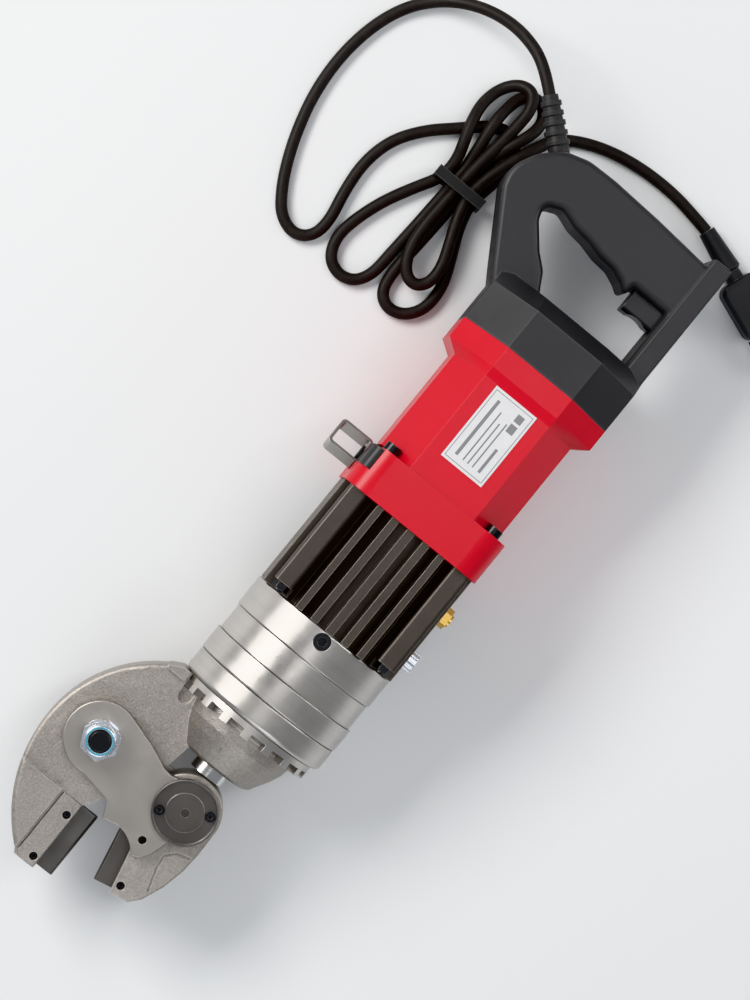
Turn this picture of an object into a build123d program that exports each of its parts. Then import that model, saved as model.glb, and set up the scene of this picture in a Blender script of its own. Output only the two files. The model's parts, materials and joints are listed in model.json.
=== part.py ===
from build123d import *
import math
import os

# A portable hydraulic rebar cutter lying on its side. Everything is drawn in the tool's own axes and moved
# to the row frame as it is written: X runs along the tool from the jaws (-X) to the handle (+X) with x = 0
# at the back of the steel rings, Y runs across it towards the top of the handle, and Z points up from the
# surface that the tool lies on, with the tool's axis at y = z = 0. All sizes are in millimetres.

# ---- driving dimensions --------------------------------------------------------------------------
REST_Z = -44.0            # level of the surface under the tool
RING_R = 44.0             # largest steel ring, which rests on that surface
BORE_R = 29.0             # hydraulic cylinder bore
ROD_R = 10.0              # piston rod
RUN = 0.05                # radial clearance of every running fit
GAP = 0.05                # gap between pieces that are bolted or pressed together
PIVOT = (-116.0, 55.0)    # where the jaw arm swings on the C-frame
PIN = (-118.5, -2.5)      # where the piston rod pushes the jaw arm
WEB_Z = 11.0              # half thickness of the C-frame where the link plates swing
TIP_Z = 14.0              # half thickness of the C-frame at its cast tip
LIP_Z = 12.0              # half thickness of the lip that holds the fixed cutter
LINK_IN = 12.4            # inner face of each link plate
LINK_OUT = 18.4           # outer face of each link plate
JAW_Z = 12.35             # half thickness of the moving jaw
BLADE_IN = 0.3            # each cutter's face stands this far from the shearing plane
BLADE_OUT = 8.2           # and its back this far
CASE_Y = 42.0             # half width of the ribbed housing
COLLAR = (66.5, 91.0)     # the motor housing's flange along X
MOTOR_Y, MOTOR_Z = 38.8, 42.8
FLARE = (152.0, 157.5)     # where the motor housing widens to the cap's size
CAP_Y, CAP_Z = 46.8, 44.0
FOLD = 21.0               # half width of the housing's flat faces
CAP_FRONT, CAP_BACK = 170.1, 204.0
WALL = 3.0
GRIP_Z = 16.5             # half thickness of the D-handle
SCREW_YZ = 33.5           # the long housing screws stand at this y and z
SHAFT_Y = 15.4            # eccentric shaft's offset from the motor's axis
CORD_R = 3.25
FLOOR_Z = REST_Z + CORD_R + 0.05

nodes = {}


# ---- helpers -------------------------------------------------------------------------------------
def rod_x(x0, x1, r, y=0.0, z=0.0):
    return Pos((x0 + x1) / 2, y, z) * Rot(0, 90, 0) * Cylinder(r, x1 - x0)


def rod_y(y0, y1, r, x, z=0.0):
    return Pos(x, (y0 + y1) / 2, z) * Rot(90, 0, 0) * Cylinder(r, y1 - y0)


def rod_z(z0, z1, r, x, y):
    return Pos(x, y, (z0 + z1) / 2) * Cylinder(r, z1 - z0)


def ring_x(x0, x1, r_in, r_out, y=0.0, z=0.0):
    return rod_x(x0, x1, r_out, y, z) - rod_x(x0 - 1, x1 + 1, r_in, y, z)


def block(x0, x1, y0, y1, z0, z1):
    return Pos((x0 + x1) / 2, (y0 + y1) / 2, (z0 + z1) / 2) * Box(x1 - x0, y1 - y0, z1 - z0)


def hex_z(z0, z1, flats, x, y, turn=0.0):
    sketch = RegularPolygon(flats / 2, 6, major_radius=False)
    return extrude(Pos(x, y, z0) * Rot(0, 0, turn) * sketch, z1 - z0)


def hex_along(place, flats, height):
    return extrude(place * RegularPolygon(flats / 2, 6, major_radius=False), height)


def turned(profile):
    """A solid of revolution about the tool's axis, from (x, radius) corners."""
    return revolve(make_face(Polyline(*profile, close=True)), Axis.X)


def slab(face, z0, z1):
    return extrude(Pos(0, 0, z0) * face, z1 - z0)


def polygon(*points):
    return make_face(Polyline(*points, close=True))


def soften(solid, edges, sizes):
    """Rounds the edges by the first size that the solid takes."""
    for size in sizes:
        try:
            rounded = fillet(edges, size)
        except Exception:
            continue
        if rounded.is_valid:
            return rounded
    return solid


def across(x, y=0.0, z=0.0):
    """The plane across the tool's axis at x, drawn in (y, z) and facing +X."""
    return Plane(origin=(x, y, z), x_dir=(0, 1, 0), z_dir=(1, 0, 0))


def octagon(half_y, half_z, flat_y, flat_z, x):
    """A face across the tool's axis at x: flat faces joined by slanting corners."""
    corners = [(flat_y, half_z), (half_y, flat_z), (half_y, -flat_z), (flat_y, -half_z)]
    corners += [(-y, z) for y, z in reversed(corners)]
    return across(x) * make_face(Polyline(*corners, close=True))


def prism(face, length):
    """A face across the axis drawn out towards +X."""
    start = face.center().X
    solid = extrude(face, length)
    return solid if solid.center().X > start else extrude(face, -length)


def group(solids):
    """Separate solids in one node."""
    joined = solids[0]
    for solid in solids[1:]:
        joined += solid
    return joined


def keep(name, solid):
    nodes[name] = solid


# ---- head: C-frame and fixed cutter ----------------------------------------------------------------------
TIP_X = -149.1            # the step between the machined web and the cast tip
LIP = (-190.6, -149.4, 40.0, 52.5)
FIXED_BLADE = (-188.2, -150.4, 29.95, 50.0)
FIXED_SCREWS = [(-185.5, 43.6), (-158.4, 43.6)]
DOME_FRONT, DOME_BACK = -92.0, -67.0
NUT_RING = (-68.5, -60.9, 33.0, 40.0)


def frame_outline():
    back = Line((-61, 16.7), (-61, 44.4))
    crown = ThreePointArc(back @ 1, (-87, 73.2), (-127, 84.1))
    nose = ThreePointArc(crown @ 1, (-161, 75.6), (-188.1, 53.8))
    lip = Polyline(nose @ 1, (-190.6, 52.5), (-190.6, 40.0), (-147.0, 40.0), (-145.8, 37.0), (-139.6, 34.6))
    throat = ThreePointArc(lip @ 1, (-125, 21.6), (-106.9, 19.1))
    root = Polyline(throat @ 1, (-92, 16.7), back @ 0)
    return make_face([back, crown, nose, lip, throat, root])


def dome():
    nose = [(DOME_FRONT, 0), (DOME_FRONT, 19.6), (-90.6, 22.2), (-80, 28.4), (-74.5, 30.8)]
    spigot = [(DOME_BACK, 32.3), (DOME_BACK, 33.0), (-54.3, 33.0), (-54.3, 0)]
    body = turned(nose + spigot)
    rounded = [e for e in body.edges().filter_by(GeomType.CIRCLE) if e.center().X < -75]
    return soften(body, rounded, [1.0, 0.5])


def head_frame():
    web = slab(frame_outline(), -WEB_Z, WEB_Z)
    rim = [e for e in web.edges().filter_by(GeomType.CIRCLE) if e.center().Y > 45]
    web = soften(web, rim, [2.2, 1.5])
    tip = slab(frame_outline(), -TIP_Z, TIP_Z) & block(-200, TIP_X, 54.0, 90, -20, 20)
    rim = [e for e in tip.edges().filter_by(GeomType.CIRCLE) if abs(e.center().Z) > 13]
    tip = soften(tip, rim, [3.0, 2.0, 1.0])
    lip = block(*LIP, -LIP_Z, LIP_Z)
    corners = lip.edges().filter_by(Axis.Z).filter_by(lambda e: e.center().Y > 50 and e.center().X < -160)
    lip = soften(lip, corners, [4.0, 2.0])
    lip = soften(lip, lip.faces().filter_by(Axis.Z).edges(), [1.0, 0.6])
    flange = block(-66.6, -61, 40.4, 51.5, -14, 14) & slab(frame_outline(), -TIP_Z, TIP_Z)
    body = web + tip + lip + flange + dome()
    body -= rod_x(DOME_FRONT - 1, -60, ROD_R + 3)
    body -= rod_x(-84, -61, 21)
    body -= rod_x(-62, -50, BORE_R + 0.5)
    body -= ring_x(NUT_RING[0] - 0.5, NUT_RING[1] + 0.4, NUT_RING[2], NUT_RING[3] + 0.4)
    body -= rod_z(-30, 30, 9.0, *PIVOT)
    pocket = block(-72.6, -66, 31, 38.8, 8, 30) + rod_z(8, 30, 3.9, -72.6, 34.9)
    body -= pocket
    x0, x1, y0, y1 = FIXED_BLADE
    body -= block(x0 - GAP, x1 + GAP, y0, y1 + GAP, BLADE_IN - GAP, BLADE_OUT + GAP)
    for x, y in FIXED_SCREWS:
        body -= rod_z(-20, 20, 2.25, x, y)
    return body


def cutter_block(x0, x1, y0, y1, z0, z1, holes, bevel_y, bevel):
    """A shear blade: a bar with a bevel along its cutting edge."""
    bar = block(x0, x1, y0, y1, z0, z1)
    edge = bar.edges().filter_by(Axis.X).filter_by(lambda e: abs(e.center().Y - bevel_y) < 0.1)
    outer = max(edge, key=lambda e: abs(e.center().Z))
    bar = chamfer(outer, bevel)
    for x, y in holes:
        bar -= rod_z(z0 - 1, z1 + 1, 2.25, x, y)
    return bar


keep("head_frame", head_frame())
fixed_cutter = cutter_block(*FIXED_BLADE, BLADE_IN, BLADE_OUT, FIXED_SCREWS, FIXED_BLADE[2], 1.6)
keep("fixed_cutter_block", fixed_cutter)


def recessed_screws(places, z0, z1):
    """Set screws sunk below the face, each with a hexagon socket in its outer end."""
    screws = []
    for x, y in places:
        screw = rod_z(z0, z1, 2.2, x, y)
        screws.append(screw - hex_z(z1 - 2.2, z1 + 1, 2.0, x, y))
    return group(screws)


keep("fixed_block_screws", recessed_screws(FIXED_SCREWS, -9.0, 9.5))

# ---- moving jaw and its links --------------------------------------------------------------------
BOSS_R = 19.5
JAW_SCREWS = [(-169.5, -1.1)]
DOWEL = (-143.3, 5.5)
BLADE_TILT = 12.1         # the moving cutter's slope at rest


def jaw_outline():
    heel = [(-152.2, 6.6), (-174.3, 1.5)]
    chin = [(-175.6, 1.0), (-173.8, -9.4), (-168.3, -14.2), (-156.4, -18.9), (-144.5, -21.5)]
    cheek = Polyline((-118.5, 17.0), (-137, 13.5), *heel, *chin, (-132.6, -22.4), (-118.5, -22.0))
    close = Line(cheek @ 1, cheek @ 0)
    body = make_face([cheek, close]) + Pos(*PIN) * Circle(BOSS_R)
    return body - Pos(*PIVOT) * Circle(40.0)


def blade_place():
    return Pos(-177.4, 11.0, 0) * Rot(0, 0, BLADE_TILT)


def moving_jaw():
    body = slab(jaw_outline(), -JAW_Z, JAW_Z)
    rim = [e for e in body.edges() if abs(e.center().Z) > 12]
    lower = [e for e in rim if e.center().Y < -5 and e.center().X < -125]
    body = soften(body, lower, [2.0, 1.2, 0.8])
    groove = polygon((-164, -14.8), (-163, -13.0), (-150.4, -8.8), (-143, -7.8), (-138, -13),
                     (-135.5, -20.5), (-137.2, -20.9), (-139.9, -13.4), (-143.8, -9.4), (-150.2, -10.4))
    body -= slab(groove, JAW_Z - 1.2, JAW_Z + 5)
    body -= slab(groove, -JAW_Z - 5, -JAW_Z + 1.2)
    body -= blade_place() * block(-3, 29.8, -11.3, 1, -BLADE_OUT - GAP, BLADE_IN)
    body -= blade_place() * block(-3, 29.8, -0.2, 8, -20, 20)
    body -= rod_z(-30, 30, 9 + GAP, *PIN)
    body -= rod_z(-30, 30, 2.15, *DOWEL)
    for x, y in JAW_SCREWS:
        body -= rod_z(-20, 20, 2.25, x, y)
    return body


def moving_cutter():
    bar = block(0.2, 29.6, -11.2, 0, -BLADE_OUT, -BLADE_IN)
    edge = bar.edges().filter_by(Axis.X).filter_by(lambda e: e.center().Y > -1 and e.center().Z > -1)
    bar = chamfer(edge, 1.0)
    bar = blade_place() * bar
    for x, y in JAW_SCREWS:
        bar -= rod_z(-20, 20, 2.25, x, y)
    return bar


def link_outline():
    crown = ThreePointArc((-97.6, 48.3), (-116.0, 74.6), (-135.2, 51.0))
    left = Polyline(crown @ 1, (-138.7, 32.6), (-147.4, 28.6), (-145.5, 20.8))
    hollow = ThreePointArc(left @ 1, (-146.2, 14.8), (-151.4, 7.1))
    toe = Polyline(hollow @ 1, (-153.2, 4.8), (-151.4, 0.6), (-146.0, -2.9), (-137.0, -5.5), PIN)
    right = Polyline(toe @ 1, (-104.0, -1.0), (-108.1, 14.8), (-107.6, 19.6), (-102.2, 32.6), crown @ 0)
    return make_face([crown, left, hollow, toe, right]) + Pos(*PIN) * Circle(17.0)


def link_plate(z0, z1, bolt_r):
    plate = slab(link_outline(), z0, z1)
    rim = plate.faces().filter_by(Axis.Z).edges()
    plate = soften(plate, rim, [0.7, 0.4])
    plate -= rod_z(-30, 30, bolt_r, *PIVOT)
    plate -= rod_z(-30, 30, 9 + GAP, *PIN)
    plate -= rod_z(-30, 30, 2.15, *DOWEL)
    return plate


keep("moving_jaw", moving_jaw())
keep("moving_cutter_block", moving_cutter())
keep("moving_block_screws", recessed_screws(JAW_SCREWS, -9.0, 9.5))
keep("link_plate_near", link_plate(LINK_IN, LINK_OUT, 6 + GAP))
keep("link_plate_far", link_plate(-LINK_OUT, -LINK_IN, 9.0))
keep("drive_pin", rod_z(-LINK_OUT, LINK_OUT, 9.0, *PIN))


def pivot_bolt():
    """Shoulder bolt: its thick part turns in the C-frame and its thread passes the near link plate."""
    shank = rod_z(LINK_IN, 32.6, 6.0, *PIVOT)
    tip = shank.edges().filter_by(GeomType.CIRCLE).sort_by(Axis.Z)[-1]
    shank = chamfer(tip, 1.0)
    head = hex_z(-LINK_OUT - 9.5, -LINK_OUT - 2, 19, *PIVOT)
    shoulder = rod_z(-LINK_OUT, LINK_IN, 9.0 - RUN, *PIVOT)
    return shank + shoulder + head + rod_z(-LINK_OUT - 2, -LINK_OUT, 12, *PIVOT)


def pivot_nut():
    """Locking nut: a flanged hexagon with a round collar around its insert."""
    nut = hex_z(LINK_OUT + 1.6, LINK_OUT + 10.5, 19, *PIVOT, 25)
    nut &= rod_z(LINK_OUT, LINK_OUT + 20, 10.85, *PIVOT)
    collar = rod_z(LINK_OUT + 10.4, LINK_OUT + 13.0, 8.4, *PIVOT)
    collar = soften(collar, collar.edges().filter_by(GeomType.CIRCLE).sort_by(Axis.Z)[-1:], [1.2, 0.6])
    return nut + collar - rod_z(0, 60, 6 + GAP, *PIVOT)


def thrust_washers():
    washer = rod_z(LINK_OUT, LINK_OUT + 1.5, 10.2, *PIVOT) - rod_z(0, 60, 6 + GAP, *PIVOT)
    inner = rod_z(WEB_Z + 0.3, LINK_IN - GAP, 16, *PIVOT) - rod_z(0, 60, 9 + GAP, *PIVOT)
    return group([washer, inner, inner.mirror(Plane.XY)])


CAP_SCREW_R = 13.2
CAP_SCREWS = [(PIN[0] + CAP_SCREW_R * math.cos(math.radians(turn)),
               PIN[1] + CAP_SCREW_R * math.sin(math.radians(turn))) for turn in (121, -60)]


def pin_cap(side):
    """Dished cap over the drive pin's end, with a thin rim and a centre hole."""
    cap = rod_z(LINK_OUT + GAP, LINK_OUT + 4.2, 17.4, *PIN)
    cap -= rod_z(LINK_OUT + 2.2, 60, 16.2, *PIN)
    cap += rod_z(LINK_OUT + 1, LINK_OUT + 3.0, 10.2, *PIN)
    cap = soften(cap, cap.edges().filter_by(GeomType.CIRCLE).sort_by(Axis.Z)[-2:], [0.4, 0.2])
    cap -= rod_z(0, 60, 2.25, *PIN)
    for x, y in CAP_SCREWS:
        cap -= rod_z(0, 60, 1.75, x, y)
    return cap if side > 0 else cap.mirror(Plane.XY)


def cap_screw(x, y):
    head = rod_z(LINK_OUT + 2.2 + GAP, LINK_OUT + 3.9, 2.9, x, y)
    return head + rod_z(LINK_OUT + GAP, LINK_OUT + 2.4, 1.7, x, y) - hex_z(LINK_OUT + 2.9, 60, 2.5, x, y)


screws = [cap_screw(x, y) for x, y in CAP_SCREWS]
keep("pivot_bolt", pivot_bolt())
keep("pivot_nut", pivot_nut())
keep("pivot_washers", thrust_washers())
keep("pin_caps", group([pin_cap(1), pin_cap(-1)]))
keep("pin_cap_screws", group(screws + [s.mirror(Plane.XY) for s in screws]))

# ---- hydraulic cylinder --------------------------------------------------------------------------
ROD_END = -98.6           # the rod's face stands 0.4 behind the jaw's boss
PISTON = (-38.0, -20.0)
SPRING = (-83.6, PISTON[0] - 0.3)
SET_SCREWS = 3


def lock_ring():
    x0, x1, r0, r1 = NUT_RING
    ring = ring_x(x0, x1, r0 + GAP, r1)
    for i in range(18):
        slot = Rot(20 * i, 0, 0) * block(x0 - 1, x0 + 4.2, r0 - 2, r1 + 2, -4.5, 4.5)
        ring -= slot
    return ring


def plain_ring(x0, x1, r_in, r_out, front_round=0.5, back_round=0.5):
    ring = ring_x(x0, x1, r_in, r_out)
    outer = [e for e in ring.edges().filter_by(GeomType.CIRCLE) if e.radius > r_out - 0.1]
    ring = soften(ring, [e for e in outer if e.center().X < x0 + 0.1], [front_round])
    outer = [e for e in ring.edges().filter_by(GeomType.CIRCLE) if e.radius > r_out - 0.1]
    return soften(ring, [e for e in outer if e.center().X > x1 - 0.1], [back_round])


def cylinder():
    tube = rod_x(-54.2, -33.4, 33.0)
    flange = plain_ring(-33.4, -18.1, 20, 42.8, 0.5, 0.7)
    return tube + flange + rod_x(-33.4, -18.1, 25) - rod_x(-60, 0, BORE_R)


def clamp_ring():
    ring = plain_ring(-18.0, -0.1, 36.0, 43.7, 0.6, 0.9)
    for i in range(SET_SCREWS):
        ring -= Rot(120 * i, 0, 0) * rod_z(30, 60, 4.7, -5.4, 0)
    return ring


def clamp_screws():
    screw = rod_z(36.1, 43.3, 4.6, -5.4, 0) - hex_z(39.5, 60, 4.6, -5.4, 0)
    return group([Rot(120 * i, 0, 0) * screw for i in range(SET_SCREWS)])


def return_spring():
    coil_r, wire_r, turns = 16.0, 1.9, 6
    height = SPRING[1] - SPRING[0] - 2 * wire_r
    path = Helix(height / turns, height, coil_r)
    section = Plane(path @ 0, z_dir=path % 0) * Circle(wire_r)
    spring = sweep(section, path=path, is_frenet=True)
    return Pos(SPRING[0] + wire_r, 0, 0) * Rot(0, 90, 0) * spring


def piston():
    body = rod_x(*PISTON, BORE_R - RUN)
    for x in (PISTON[0] + 5, PISTON[0] + 11):
        body -= ring_x(x, x + 2.4, BORE_R - 2.0, BORE_R + 1)
    return body


keep("rod_bush", ring_x(DOME_FRONT + 0.3, -84, ROD_R + RUN, ROD_R + 3 - GAP))
keep("head_lock_ring", lock_ring())
keep("front_ring", plain_ring(-60.5, -47.1, 33.0 + GAP, 43.7, 2.6, 1.0))
keep("middle_ring", plain_ring(-47.0, -33.5, 33.0 + GAP, RING_R, 1.0, 0.5))
keep("cylinder", cylinder())
keep("rear_clamp_ring", clamp_ring())
keep("ring_set_screws", clamp_screws())
keep("piston", piston())
keep("piston_rod", rod_x(ROD_END, PISTON[0] - 0.01, ROD_R))
keep("return_spring", return_spring())

# ---- pump ----------------------------------------------------------------------------------------
CASE = (0.0, 66.4)
CASE_BORE = 34.0
FIN_PITCH, FIN_W = 9.9, 5.0
VALVE_X, PLUG_X = 14.5, 43.5
SHAFT_R = 4.0
ECC_X = (30.0, 38.0)
ECC_THROW = 1.5
GEAR_X = (70.0, 76.0)
MODULE = 0.7
PINION_TEETH, GEAR_TEETH = 9, 35


def case_section():
    """A round core with five fins on each side and a square screw boss at each corner."""
    fins = [Pos(0, i * FIN_PITCH) * Rectangle(2 * CASE_Y, FIN_W - 0.5 * abs(i)) for i in range(-2, 3)]
    section = Circle(36.8)
    for fin in fins:
        section += fin
        section += Rot(0, 0, 90) * fin
    for i in range(4):
        turn = Rot(0, 0, 45 + 90 * i)
        section += turn * Pos(38, 0) * Rectangle(18, 5)
    for y in (-SCREW_YZ, SCREW_YZ):
        for z in (-SCREW_YZ, SCREW_YZ):
            boss = Pos(y, z) * Rectangle(11, 11)
            section += fillet(boss.vertices(), 2.2)
    return section


def pump_housing():
    body = prism(across(CASE[0]) * case_section(), CASE[1] - CASE[0])
    for x, r in ((VALVE_X, 7.5), (PLUG_X, 8.0)):
        body += rod_y(-CASE_Y, -35, r, x)
    body -= rod_x(-1, 80, CASE_BORE)
    for y in (-SCREW_YZ, SCREW_YZ):
        for z in (-SCREW_YZ, SCREW_YZ):
            body -= rod_x(-5, 80, 2.6, y, z)
            body -= block(-1, 5.2, y - 6, y + 6, z - 6, z + 6)
    body -= rod_y(-60, -30, 3 + RUN, VALVE_X)
    body -= rod_y(-60, -30, 4 + GAP, PLUG_X)
    return body


def valve_plate():
    """Closes the cylinder and carries the oil passage with its check valve."""
    body = rod_x(-17.9, -0.1, 35.9) + rod_x(-19.5, -17.8, BORE_R - GAP)
    body -= rod_x(-12, 1, 4.2, 8, 8)
    body -= rod_x(-25, 1, 1.5, 8, 8)
    body -= rod_x(-30, 1, 2.0, -12, -12)
    return body


def pump_block():
    """Steel block with the bores of two opposed plungers either side of the eccentric shaft."""
    body = rod_x(0.3, 24, CASE_BORE - GAP)
    for side in (-1, 1):
        z0, z1 = sorted((side * 17, side * 24))
        body += block(23, 41, SHAFT_Y - 6.4, SHAFT_Y + 3.6, z0, z1)
        body -= rod_z(*sorted((side * 14, side * 26)), 2.6, sum(ECC_X) / 2, SHAFT_Y - 1.4)
    body -= rod_x(15.5, 30, 8 + GAP, SHAFT_Y)
    body -= rod_y(-40, -22, 3 + RUN, VALVE_X)
    body -= rod_x(-1, 12, 1.5, 8, 8)
    return body


def plungers():
    x, y = sum(ECC_X) / 2, SHAFT_Y - 1.4
    one = rod_z(12.4, 23.0, 2.5, x, y)
    return group([one, one.mirror(Plane.XY)])


def bearing(x0, x1, r_in, r_out, y=0.0):
    """Ball bearing drawn as one ring with its shield grooves."""
    ring = ring_x(x0, x1, r_in, r_out, y)
    middle = (r_in + r_out) / 2
    for x in (x0 - 1, x1 - 0.5):
        ring -= ring_x(x, x + 1.5, middle - 1.0, middle + 1.0, y)
    return ring


def gear_profile(teeth, module, addendum):
    """Straight-flanked teeth with backlash, drawn as one closed polygon."""
    pitch_r = teeth * module / 2
    root_r, tip_r = pitch_r - 1.15 * module, pitch_r + addendum * module
    step = 360 / teeth
    points = []
    for i in range(teeth):
        for offset, r in ((-0.31, root_r), (-0.12, tip_r), (0.12, tip_r), (0.31, root_r)):
            a = math.radians((i + offset) * step)
            points.append((r * math.cos(a), r * math.sin(a)))
    return make_face(Polyline(*points, close=True))


def gear_x(teeth, x0, x1, y, turn, addendum=0.7):
    face = Rot(0, 0, turn) * gear_profile(teeth, MODULE, addendum)
    return prism(across(x0, y) * face, x1 - x0)


def eccentric_shaft():
    body = rod_x(16, 77.5, SHAFT_R, SHAFT_Y)
    return body + rod_x(*ECC_X, 7.0, SHAFT_Y + ECC_THROW)


def release_valve():
    """Knurled chrome knob on a needle that opens the return passage."""
    knob = rod_y(-48.6, -42.3, 5.8, VALVE_X)
    knob = soften(knob, knob.edges().filter_by(GeomType.CIRCLE), [0.6])
    for i in range(12):
        turn = Pos(VALVE_X, 0, 0) * Rot(0, 30 * i, 0)
        knob -= turn * rod_y(-50, -43.6, 0.7, 6.1)
    knob -= block(VALVE_X - 7, VALVE_X + 7, -49, -47.4, -0.7, 0.7)
    return knob + rod_y(-42.4, -24.0, 3.0, VALVE_X)


def oil_plug():
    place = Pos(PLUG_X, -43.2, 0) * Rot(90, 0, 0)
    head = hex_along(place, 10.5, 4.4)
    head &= rod_y(-60, -40, 5.9, PLUG_X)
    dome_cap = rod_y(-49.0, -47.5, 3.6, PLUG_X)
    dome_cap -= block(PLUG_X - 5, PLUG_X + 5, -50, -48.0, -0.6, 0.6)
    washer = rod_y(-43.3, -CASE_Y - 0.02, 6.4, PLUG_X)
    return head + dome_cap + washer + rod_y(-42, -35.2, 4.0, PLUG_X)


def gear_plate():
    body = rod_x(58, 66, CASE_BORE - GAP)
    body -= rod_x(55, 70, 8 + GAP, SHAFT_Y)
    return body


keep("valve_plate", valve_plate())
keep("pump_block", pump_block())
keep("pump_plungers", plungers())
keep("oil_bladder", ring_x(27.5, 57.5, 31.4, 33.6))
keep("pump_housing", pump_housing())
keep("release_valve", release_valve())
keep("oil_plug", oil_plug())
keep("gear_plate", gear_plate())
keep("eccentric_shaft", eccentric_shaft())
keep("eccentric_ring", bearing(*ECC_X, 7 + GAP, 10.5, SHAFT_Y + ECC_THROW))
gear = gear_x(GEAR_TEETH, *GEAR_X, SHAFT_Y, 180 - 180 / GEAR_TEETH)
keep("drive_gear", gear - rod_x(60, 90, SHAFT_R + GAP, SHAFT_Y))

# ---- motor ---------------------------------------------------------------------------------------
CORE_X = (108.0, 148.0)
CORE_R = 20.5
COLLAR_ROUND = 14.0


def long_screws():
    """Four long screws from the collar through the ribbed housing, each with its nut."""
    pieces = []
    for y in (-SCREW_YZ, SCREW_YZ):
        for z in (-SCREW_YZ, SCREW_YZ):
            head = rod_x(COLLAR[1] + GAP, COLLAR[1] + 4.4, 4.2, y, z)
            socket = hex_along(across(COLLAR[1] + 1.8, y, z), 4.0, 5)
            pieces.append(head - socket + rod_x(0.6, COLLAR[1] + 1, 2.5, y, z))
            nut = hex_along(across(1.4, y, z), 8.0, 3.6)
            pieces.append(nut - rod_x(-5, 10, 2.5 + GAP, y, z))
    return group(pieces)


def motor_housing():
    """Red shell in one piece: square collar, eight-sided motor case and flared rear end."""
    collar_face = Rectangle(2 * 43.0, 2 * CAP_Z)
    collar_face = fillet(collar_face.vertices(), COLLAR_ROUND)
    collar = prism(across(COLLAR[0]) * collar_face, COLLAR[1] - COLLAR[0])
    case_face = octagon(MOTOR_Y, MOTOR_Z, FOLD, 20, COLLAR[1])
    case = prism(case_face, FLARE[0] - COLLAR[1])
    wide = octagon(CAP_Y, CAP_Z, FOLD, 22, FLARE[1])
    flare = loft([octagon(MOTOR_Y, MOTOR_Z, FOLD, 20, FLARE[0]), wide])
    skirt = prism(wide, CAP_FRONT - 0.1 - FLARE[1])
    body = collar + case + flare + skirt
    step = FLARE[0] + 1.5
    narrow = octagon(MOTOR_Y - WALL, MOTOR_Z - WALL, FOLD - 1.2, 18.8, step)
    wide = octagon(CAP_Y - WALL, CAP_Z - WALL, FOLD - 1.2, 20.8, FLARE[1] + 1.5)
    inside = prism(octagon(MOTOR_Y - WALL, MOTOR_Z - WALL, FOLD - 1.2, 18.8, 95), step - 95)
    inside += loft([narrow, wide]) + prism(wide, 20)
    body -= inside + rod_x(60, 96, 35.0)
    for y in (-SCREW_YZ, SCREW_YZ):
        for z in (-SCREW_YZ, SCREW_YZ):
            body -= rod_x(60, 100, 2.6, y, z)
            body -= rod_x(COLLAR[1], COLLAR[1] + 4.6, 4.6, y, z)
    body -= block(77.4, COLLAR[1] + 1, 36.4, 50, -50, 50)
    body -= rod_y(40.8, 50, 10.4, 82)
    return body


def end_plate():
    """Bearing plate between the gears and the fan."""
    body = rod_x(80, 88, 34.9)
    body -= rod_x(75, 95, 11 + GAP)
    for i in range(8):
        body -= Rot(45 * i + 22.5, 0, 0) * block(70, 99, 19, 27, -4, 4)
    return body


def armature_shaft():
    """Shaft with the pinion cut on its front end."""
    body = rod_x(77, 186, SHAFT_R)
    return body + gear_x(PINION_TEETH, GEAR_X[0] - 1, 77.5, 0, 0)


def armature_core():
    """Slotted stack with its end windings."""
    stack = rod_x(*CORE_X, CORE_R)
    for i in range(12):
        slot = block(CORE_X[0] - 1, CORE_X[1] + 1, CORE_R - 3.5, CORE_R + 1, -1.0, 1.0)
        stack -= Rot(30 * i, 0, 0) * slot
    for x0, x1 in ((CORE_X[0] - 7, CORE_X[0] + 0.1), (CORE_X[1] - 0.1, CORE_X[1] + 6)):
        winding = rod_x(x0, x1, 17)
        stack += soften(winding, winding.edges().filter_by(GeomType.CIRCLE), [2.0, 1.0])
    return stack - rod_x(90, 170, SHAFT_R + GAP)


def commutator():
    body = rod_x(156, 170, 11)
    for i in range(24):
        body -= Rot(15 * i, 0, 0) * block(155, 168, 10, 12, -0.3, 0.3)
    return body - rod_x(150, 180, SHAFT_R + GAP)


def cooling_fan():
    hub = rod_x(90, 98.5, 9) + rod_x(97, 98.5, 29)
    for i in range(12):
        hub += Rot(30 * i, 0, 0) * block(90.5, 97.5, 8, 28.5, -0.8, 0.8)
    return hub - rod_x(80, 110, SHAFT_R + GAP)


def stator_core():
    """Laminated field core with two poles that hug the armature."""
    body = prism(octagon(35.4, 38.4, 19, 18, CORE_X[0]), CORE_X[1] - CORE_X[0])
    body -= rod_x(100, 160, 29.5)
    for side in (-1, 1):
        pole = block(*CORE_X, -14, 14, *sorted((side * 12, side * 32)))
        body += pole - rod_x(100, 160, CORE_R + 0.8)
    return body


def field_coils():
    pieces = []
    for side in (-1, 1):
        for x0, x1 in ((CORE_X[0] - 6, CORE_X[0] - 0.2), (CORE_X[1] + 0.2, CORE_X[1] + 6)):
            loop = block(x0, x1, -19, 19, *sorted((side * 20, side * 28)))
            pieces.append(soften(loop, loop.edges().filter_by(Axis.X), [3.0, 2.0]))
    return group(pieces)


def brush_gear():
    """Two brass holders in their carriers, each with its carbon brush on the commutator."""
    pieces = []
    for side in (-1, 1):
        holder = block(158.5, 167.5, -5, 5, *sorted((side * 14, side * 30)))
        holder -= block(160, 166, -3.5, 3.5, *sorted((side * 10, side * 27)))
        brush = block(160.1, 165.9, -3.4, 3.4, *sorted((side * 11.5, side * 24)))
        pieces += [holder, brush]
    return group(pieces)


def shaft_bearings():
    pieces = [bearing(17, 23, SHAFT_R + RUN, 8, SHAFT_Y), bearing(60, 66, SHAFT_R + RUN, 8, SHAFT_Y),
              bearing(81, 87, SHAFT_R + RUN, 11), bearing(178, 184, SHAFT_R + RUN, 11)]
    return group(pieces)


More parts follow.
